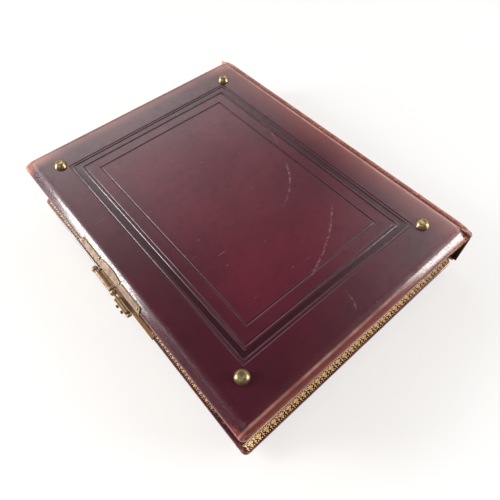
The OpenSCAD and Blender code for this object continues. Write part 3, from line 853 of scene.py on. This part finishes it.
# the spine's ends stand past the covers. The front shoulder sinks there, and the back one is worn away.
# axisHeight is where the shoulder's axis runs, and up is 1 or -1, whichever way is out from the album
def shapeEnds(verts, axisHeight, up, wornAway):
    look = endLook
    lapFrom, lapOver = look["lapX"]
    puckerRise, puckerFall = look["puckerX"]
    for vert in verts:
        x, out = vert.co.x, (vert.co.z - axisHeight) * up
        behind = min(max(-x, 0), look["back"])
        drop = look["back"] - math.sqrt(look["back"] ** 2 - behind**2)
        onCover = min(max((x - lapFrom) / lapOver, 0), 1)
        end = halfY + look["past"] - drop - look["lap"] * onCover**2
        if wornAway:
            end -= look["cut"] * max(smooth(side, 0, look["cutSoft"]) for side in (out, x))
        share = vert.co.y / halfY
        vert.co.y = share * end
        near = abs(vert.co.y)
        if wornAway:
            continue
        last = max(near - (halfY + look["past"] - look["dome"]), 0) / look["dome"]
        small = 1 - look["sink"] * last**2 * smooth(out, *look["sinkOut"]) * smooth(x, *look["sinkX"])
        vert.co.x *= small
        out *= small
        nearEnd = smooth(near, *(halfY - inset for inset in look["puckerEnd"]))
        out += look["pucker"] * nearEnd * smooth(x, *puckerRise) * smooth(x, *puckerFall)
        vert.co.z = axisHeight + out * up


# pulls a profile of edges along y through the given places
def pullAlong(bm, profile, places):
    loop = profile
    for before, after in zip(places, places[1:]):
        made = bmesh.ops.extrude_edge_only(bm, edges=loop)["geom"]
        fresh = onlyVerts(made)
        bmesh.ops.translate(bm, vec=(0, after - before, 0), verts=fresh)
        known = set(fresh)
        loop = [edge for edge in onlyEdges(made) if known.issuperset(edge.verts)]
    return loop


def spineLeather():
    look = spineLook
    bm = bmesh.new()
    end = halfY - look["endRound"]
    first = bm.verts.new((0, -end, spineRise - look["shoulder"]))
    vert = arcOn(bm, first, (0, spineRise), 270, 24)
    vert = lineOn(bm, vert, -look["face"], spineRise - look["faceStart"])
    inset, count = look["faceSteps"]
    for up in evenSteps(spineRise - inset, inset, count):
        vert = lineOn(bm, vert, -look["face"], up)
    vert = lineOn(bm, vert, -look["face"], look["faceStart"])
    vert = lineOn(bm, vert, -look["shoulder"], 0)
    vert = arcOn(bm, vert, (0, 0), 270, 24)
    bm.edges.new((vert, first))
    profile = list(bm.edges)
    last = pullAlong(bm, profile, evenSteps(-end, end, look["steps"]))
    for loop in (profile, last):
        made = bmesh.ops.extrude_edge_only(bm, edges=loop)["geom"]
        fresh = onlyVerts(made)
        sign = 1 if fresh[0].co.y > 0 else -1
        bmesh.ops.translate(bm, vec=(0, sign * look["endRound"], 0), verts=fresh)
        known = set(fresh)
        rim = [edge for edge in onlyEdges(made) if known.issuperset(edge.verts)]
        bmesh.ops.contextual_create(bm, geom=rim)

    # the plan runs on from the joint over the spine's face, and its inside lies apart
    def mapped(co):
        near = min(abs(co.z), abs(spineRise - co.z))
        insideX, insideUp = look["inside"]
        if abs(co.x) < insideX and near > insideUp:
            return Vector((look["planInside"], co.y, 0))
        x = look["planFace"] - near if co.x < look["faceX"] else co.x
        return Vector((x, co.y, look["planHeight"]))

    shapeEnds([vert for vert in bm.verts if vert.co.z < spineRise / 2], 0, -1, True)
    shapeEnds([vert for vert in bm.verts if vert.co.z > spineRise / 2], spineRise, 1, False)
    keepPlan(bm, mapped)
    size, deep = look["wave"]
    for vert in bm.verts:
        if vert.co.x < look["faceX"]:
            vert.co.x += deep * noise.noise(vert.co / size)
    return finishPiece("spineBack", bm, spinePlace, bindingLeather, "spine", ["spine_leather"])


# leather over a joint: from the spine over the shoulder, down in the groove and up on the cover's edge
def jointLeather(name, place, tilt, wornAway):
    look = jointLook
    bm = bmesh.new()
    end = halfY
    turn = math.pi - tilt
    tangent = Vector((-math.sin(turn), math.cos(turn)))
    touch = Vector((math.cos(turn), math.sin(turn))) * look["radius"]
    lead = touch + tangent * look["start"]
    vert = bm.verts.new((lead.x, -end, axisRise + lead.y))
    vert = lineOn(bm, vert, touch.x, axisRise + touch.y)
    vert = arcOn(bm, vert, (0, axisRise), -(math.degrees(turn) - look["end"]), 16)
    for x, up in look["groove"]:
        vert = lineOn(bm, vert, x, axisRise + up)
    radius = coverLook["jointRound"] + look["lap"]
    centre = (jointX + coverLook["jointRound"], coverThick - coverLook["jointRound"])
    for degrees in look["overEdge"]:
        turned = math.radians(degrees)
        vert = lineOn(bm, vert, centre[0] - radius * math.cos(turned), centre[1] + radius * math.sin(turned))
    pullAlong(bm, list(bm.edges), evenSteps(-end, end, look["steps"]))
    shapeEnds(bm.verts, axisRise, 1, wornAway)
    keepPlan(bm)
    piece = finishPiece(name, bm, place, bindingLeather)
    thicken(piece, look["wall"])
    ends = [(place @ Vector((x, 0, axisRise))) * mm for x in look["bend"]]
    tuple(ends[0])
    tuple(ends[1])
    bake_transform(piece)
    return piece


spineLeather()
jointLeather("frontJoint", frontPlace, 0, False)
jointLeather("backJoint", backPlace, lean, True)
print("spine and joints made")


bossLook = {
    # radius and height, from the dish in the middle to the rim
    "profile": (
        (0, 3.5), (1.5, 3.55), (2.1, 3.72), (2.45, 3.8), (2.8, 3.74), (3.7, 3.2), (4.5, 2.25), (4.95, 1.2),
        (5.05, 0.62), (5.2, 0.42), (5.2, 0.02),
    ),
    "steps": 40,
}


def bosses(name, place, body, replaced):
    whole = bmesh.new()
    for spotX, spotY in bossSpots:
        bm = bmesh.new()
        line = [bm.verts.new((radius, 0, up)) for radius, up in bossLook["profile"]]
        for start, end in zip(line, line[1:]):
            bm.edges.new((start, end))
        bmesh.ops.spin(
            bm, geom=list(bm.verts) + list(bm.edges), cent=(0, 0, 0), axis=(0, 0, 1),
            angle=math.tau, steps=bossLook["steps"], use_merge=True,
        )
        bmesh.ops.remove_doubles(bm, verts=bm.verts, dist=0.001)
        rim = [edge for edge in bm.edges if edge.is_boundary]
        bmesh.ops.contextual_create(bm, geom=rim)
        bmesh.ops.translate(bm, vec=(spotX, spotY, coverThick), verts=bm.verts)
        mesh = bpy.data.meshes.new("boss")
        bm.to_mesh(mesh)
        bm.free()
        whole.from_mesh(mesh)
        bpy.data.meshes.remove(mesh)
    return finishPiece(name, whole, place, bossBrass, body, replaced, crease=55)


bosses("frontBosses", frontPlace, "front_cover", ["front_bosses"])
bosses("backBosses", backPlace, "back_cover", ["back_bosses"])
print("bosses made")


rollLook = {
    "pitch": 6.9,
    "thick": 0.05,
    "phase": 0.25,
    "reach": 6.6,
    "foreInset": 0.6,
    "fromJoint": 1.5,
    "shortOfFore": 3,
    "besidePlate": 0.5,
    "fromShoulder": 3.2,
    "spineLift": 0.03,
    # one repeat, buds that point out under a row of fans:
    # across, in from the edge, half width, half length, turn
    "petals": (
        (0, 1.85, 0.42, 0.85, 0), (0.62, 2.3, 0.3, 0.75, -38), (-0.62, 2.3, 0.3, 0.75, 38),
        (0, 3.05, 0.9, 0.26, 0),
        (0, 4.75, 0.46, 1.25, 0), (0.95, 4.5, 0.38, 1.2, -26), (-0.95, 4.5, 0.38, 1.2, 26),
        (1.7, 3.85, 0.34, 1.05, -56), (-1.7, 3.85, 0.34, 1.05, 56),
        (3.45, 4.6, 0.5, 0.95, 0), (2.75, 5.35, 0.32, 0.6, 30), (4.15, 5.35, 0.32, 0.6, -30),
        (3.45, 3.15, 0.4, 0.45, 0), (3.0, 2.6, 0.24, 0.6, 40), (3.9, 2.6, 0.24, 0.6, -40),
        (3.45, 1.5, 0.3, 0.55, 0), (1.75, 1.7, 0.26, 0.5, -20), (-1.75, 1.7, 0.26, 0.5, 20),
        (1.85, 5.5, 0.26, 0.42, 0), (-1.85, 5.5, 0.26, 0.42, 0),
    ),
    "rule": (6.3, 0.34),  # in from the edge, width
}


def palmette():
    bm = bmesh.new()
    for across, along, wide, long, turn in rollLook["petals"]:
        place = (
            Matrix.Translation((across, along, 0))
            @ Matrix.Rotation(math.radians(turn), 4, "Z")
            @ Matrix.Diagonal((wide, long, 1, 1))
        )
        bmesh.ops.create_circle(bm, cap_ends=True, segments=8, radius=1, matrix=place)
    bmesh.ops.solidify(bm, geom=bm.faces[:], thickness=rollLook["thick"])
    mesh = bpy.data.meshes.new("palmette")
    bm.to_mesh(mesh)
    bm.free()
    return mesh


# repeats of the roll along an edge, from start: it reaches inward, and the leather lies on the deep side
def giltRow(whole, motif, start, along, inward, deep, length):
    look = rollLook
    turn = Matrix((along, inward, deep)).transposed().to_4x4()
    count = round(length / look["pitch"])
    for step in range(count):
        before = len(whole.verts)
        whole.from_mesh(motif)
        whole.verts.ensure_lookup_table()
        place = Matrix.Translation(start + along * length * (step + look["phase"]) / count) @ turn
        bmesh.ops.transform(whole, matrix=place, verts=whole.verts[before:])
    inset, wide = look["rule"]
    made = bmesh.ops.create_cube(whole, size=1)["verts"]
    bmesh.ops.scale(whole, vec=(length, wide, look["thick"]), verts=made)
    bmesh.ops.transform(
        whole, matrix=Matrix.Translation(start + along * length / 2 + inward * inset) @ turn, verts=made
    )


def coverRoll(name, place, body, gapLow=None, gapHigh=None):
    look = rollLook
    motif = palmette()
    whole = bmesh.new()
    toFore, toHead, deep = Vector((1, 0, 0)), Vector((0, 1, 0)), Vector((0, 0, 1))
    for side in (1, -1):
        start = Vector((jointX + look["fromJoint"], side * halfY, 0))
        length = foreX - look["shortOfFore"] - start.x
        giltRow(whole, motif, start, toFore, -side * toHead, deep, length)
    # fore edge, with room for the lower clasp plate
    end, gap = halfY - look["reach"], look["besidePlate"]
    runs = [(-end, end)] if gapLow is None else [(-end, gapLow - gap), (gapHigh + gap, end)]
    for low, high in runs:
        start = Vector((foreX - look["foreInset"], low, 0))
        giltRow(whole, motif, start, toHead, -toFore, deep, high - low)
    for vert in whole.verts:
        vert.co.z += edgeRise(min(foreX - vert.co.x, halfY - abs(vert.co.y)))
    bpy.data.meshes.remove(motif)
    return finishPiece(name, whole, place, gilt, body, crease=30)


# the same roll inside the two ends of the spine
def spineRoll():
    motif = palmette()
    whole = bmesh.new()
    low, up, deep = rollLook["fromShoulder"], Vector((0, 0, 1)), Vector((-1, 0, 0))
    for side in (1, -1):
        start = Vector((rollLook["spineLift"], side * (halfY + endLook["past"]), low))
        giltRow(whole, motif, start, up, Vector((0, -side, 0)), deep, spineRise - 2 * low)
    bpy.data.meshes.remove(motif)
    return finishPiece("spineGiltRoll", whole, spinePlace, gilt, "spine", crease=30)


plateLow, plateHigh = (inMm(corner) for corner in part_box("lower_plate"))
coverRoll("backGiltRoll", backPlace, "back_cover", plateLow.y, plateHigh.y)
coverRoll("frontGiltRoll", frontPlace, "front_cover")
spineRoll()
print("gilt rolls made")


dressLook = {"weld": 0.01, "angle": 32}


# a piece from the frame keeps its shape and gets a finish and softened edges
def dress(node, finish, soft=0.25, segments=2):
    piece = nodes[node]
    piece.data.materials.clear()
    piece.data.materials.append(finish)
    weld = piece.modifiers.new("weld", "WELD")
    weld.merge_threshold = dressLook["weld"] * mm
    bevel = piece.modifiers.new("softEdges", "BEVEL")
    bevel.width = soft * mm
    bevel.segments = segments
    bevel.limit_method = "ANGLE"
    bevel.angle_limit = math.radians(dressLook["angle"])
    bevel.harden_normals = False
    evened = piece.modifiers.new("evenShade", "WEIGHTED_NORMAL")
    evened.keep_sharp = True
    return piece


dress("upper_plate", shadedPlateBrass, 0.18)
for node in ("hasp", "lower_plate"):
    dress(node, claspBrass, 0.18)
for node in ("upper_plate_pins", "lower_plate_pins", "hinge_pin", "latch_bolt_left", "latch_bolt_right"):
    dress(node, pinBrass, 0.12)
dress("latch_spring", springSteel, 0.02, 1)
for node in ("front_board", "back_board", "spine_board"):
    dress(node, millboard, 0.1)
for node in ("front_pastedown", "back_pastedown"):
    dress(node, endpaper, 0.05, 1)
dress("spine_lining", linen, 0.05, 1)
dress("guard_tails", linen, 0.05, 1)
dress("stubs", stubCard, 0.1, 1)
print("frame pieces dressed")

# linen guards, along the leaf from its hinge
guardLook = {"from": -0.85, "to": 15.6, "thick": 0.6, "steps": 14, "bendFrom": -0.6, "bendTo": 4.5}


def leafAndGuard(index):
    tag = f"{index:02d}"
    hinge = inMm(joints[f"leaf_{tag}_hinge"]["pos_m"])
    tilt = lean * (1 - (index - 0.5) / leaves["count"])
    _, high = (inMm(corner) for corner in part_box(f"leaf_{tag}"))
    reach = (high.x - hinge.x) / math.cos(tilt)
    dress(f"leaf_{tag}", leafFinish(f"leafCard{tag}", hinge, tilt, reach, high.y, index % 2 == 1), 0.2)
    look = guardLook
    place = Matrix.Translation(hinge) @ Matrix.Rotation(-tilt, 4, "Y")
    low, high = (inMm(corner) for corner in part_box(f"guard_{tag}"))
    bm = bmesh.new()
    made = bmesh.ops.create_grid(bm, x_segments=look["steps"], y_segments=6, size=0.5)["verts"]
    bmesh.ops.scale(bm, vec=(look["to"] - look["from"], high.y - low.y, 1), verts=made)
    bmesh.ops.translate(bm, vec=((look["from"] + look["to"]) / 2, 0, 0), verts=made)
    piece = finishPiece(f"guard{tag}", bm, place, linen, None, [f"guard_{tag}"])
    thicken(piece, look["thick"], 0)
    ends = [(place @ Vector((look[key], 0, 0))) * mm for key in ("bendFrom", "bendTo")]
    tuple(ends[0])
    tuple(ends[1])
    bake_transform(piece)


for index in range(1, leaves["count"] + 1):
    leafAndGuard(index)
print("leaves made")

stageLook = {
    "floor": rgb(249, 247, 245),
    "floorShade": rgb(240, 238, 236),
    "floorHalf": 3,  # half of its side, in metres
    "floorFade": (400, 1500),  # to white, in mm from the middle
    "seen": 0.62,  # share of the floor's own colour in its picture
    "room": ((0.0, 0.2), (0.4, 0.2), (0.6, 0.1), (0.8, 0.03), (1.0, 0.02)),
    # bright sides of the room: azimuth, strength, spread as two cosines, levels by height
    "glows": (
        (-75, 2.4, 0.6, 0.95, "tail"),
        (-75, 2.4, 0.1, 0.8, "tail"),
        (172, 4.6, 0.7, 0.97, "spine"),
    ),
    "tail": ((0, 0.06), (0.38, 0.09), (0.47, 0.78), (0.5, 0.85), (0.588, 0.7), (0.656, 0.4), (0.707, 0.31),
             (0.755, 0.21), (0.809, 0.095), (0.848, 0.04), (0.9, 0.01), (1, 0)),
    "spine": ((0, 0.05), (0.41, 0.08), (0.5, 0.75), (0.566, 0.85), (0.649, 0.7), (0.713, 0.4), (0.76, 0.31),
              (0.804, 0.21), (0.853, 0.11), (0.887, 0.05), (0.913, 0.025), (1, 0.01)),
    # softboxes: azimuth, height in degrees, roll, distance, width, height in metres, radiance
    "softboxes": (
        ("foreWindow", -39, 19, 20, 1.4, 0.42, 0.92, 20.0),
        ("headWindow", 135, 13, -12, 1.4, 0.5, 0.66, 17.0),
        ("fill", 35, 52, 0, 1.4, 1.0, 0.8, 1.6),
    ),
}


def makeFloor():
    look = stageLook
    bm = bmesh.new()
    bmesh.ops.create_grid(bm, x_segments=8, y_segments=8, size=look["floorHalf"])
    mesh = bpy.data.meshes.new("floor")
    bm.to_mesh(mesh)
    bm.free()
    made = newFinish("floor")
    tone = made.cloud(made.spot(), 300, 2)
    colour = made.mix(look["floor"], look["floorShade"], tone)
    board = made.node("BsdfPrincipled", {}, {"Base Color": colour, "Roughness": 0.8})
    x, y, _ = made.split(made.spot())
    far = (x * x + y * y).root().rise(*look["floorFade"])
    white = made.node("Emission", {}, {"Color": made.mix(look["floor"], (1, 1, 1, 1), far), "Strength": 1.0})
    ray = made.node("LightPath", output="Is Camera Ray").most(made.node("LightPath", output="Is Glossy Ray"))
    seen = ray * (look["seen"] + (1 - look["seen"]) * far)
    above = made.node("MixShader", {}, {0: seen, 1: board, 2: white})
    below = made.node("NewGeometry", output="Backfacing")
    clear = made.node("BsdfTransparent")
    mesh.materials.append(made.close(made.node("MixShader", {}, {0: below, 1: above, 2: clear})))
    floor = bpy.data.objects.new("floor", mesh)
    bpy.context.scene.collection.objects.link(floor)
    floor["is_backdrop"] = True


def makeLights():
    for name, azimuth, height, roll, distance, wide, high, radiance in stageLook["softboxes"]:
        lamp = bpy.data.lights.new(name, "AREA")
        lamp.shape = "RECTANGLE"
        lamp.size = wide
        lamp.size_y = high
        lamp.energy = radiance * math.pi * wide * high
        softbox = bpy.data.objects.new(name, lamp)
        turned, up = math.radians(azimuth), math.radians(height)
        away = Vector((math.cos(turned) * math.cos(up), math.sin(turned) * math.cos(up), math.sin(up)))
        turn = away.to_track_quat("Z", "Y").to_matrix() @ Matrix.Rotation(math.radians(roll), 3, "Z")
        softbox.matrix_world = Matrix.Translation(away * distance) @ turn.to_4x4()
        softbox.visible_camera = False
        bpy.context.scene.collection.objects.link(softbox)


def makeRoom():
    made = Finish(bpy.data.worlds.new("studio"))
    x, y, z = made.split(made.node("TexCoord", output="Generated"))
    flat = (1 - z * z).most(0.0001).root()
    height = z.most(0)
    tone = made.node("ValToRGB", {"stops": stageLook["room"]}, {"Fac": height})
    lit = made.node("Background", {}, {"Color": tone, "Strength": 1.0})
    for azimuth, strength, farCos, nearCos, stops in stageLook["glows"]:
        turned = math.radians(azimuth)
        side = ((x * math.cos(turned) + y * math.sin(turned)) / flat).rise(farCos, nearCos)
        tone = made.node("ValToRGB", {"stops": stageLook[stops]}, {"Fac": height})
        glow = made.node("Background", {}, {"Color": tone, "Strength": strength})
        lit = made.node("AddShader", {}, {0: lit, 1: made.node("MixShader", {}, {0: side, 2: glow})})
    white = made.node("Background", {}, {"Color": (1, 1, 1, 1), "Strength": 1.0})
    seen = made.node("LightPath", output="Is Camera Ray")
    sky = made.node("MixShader", {}, {0: seen, 1: lit, 2: white})
    bpy.context.scene.world = made.close(sky, "OutputWorld")


# from and to in mm, roll in degrees
cameraLook = {
    "from": (116.839, 192.230, 332.173),
    "to": (20.110, 51.874, 59.664),
    "roll": 7.0808,
    "lens": 31.665,
}


def makeCamera():
    look = cameraLook
    start, end = Vector(look["from"]), Vector(look["to"])
    ahead = (end - start).normalized()
    level = ahead.cross(Vector((0, 0, 1))).normalized()
    below = ahead.cross(level)
    roll = math.radians(look["roll"])
    right = level * math.cos(roll) + below * math.sin(roll)
    down = below * math.cos(roll) - level * math.sin(roll)
    lens = bpy.data.cameras.new("camera")
    lens.lens = look["lens"]
    lens.sensor_width = 36
    lens.clip_start = 0.01
    camera = bpy.data.objects.new("camera", lens)
    turn = Matrix((right, -down, -ahead)).transposed().to_4x4()
    camera.matrix_world = Matrix.Translation(start * mm) @ turn
    bpy.context.scene.collection.objects.link(camera)
    bpy.context.scene.camera = camera


makeFloor()
makeLights()
makeRoom()
makeCamera()
bpy.context.scene.view_settings.view_transform = "Standard"
print("stage set")

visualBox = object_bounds()
boxes = {"cad": cadBox, "visual": visualBox}
{name: [list(corner) for corner in box] for name, box in boxes.items()}
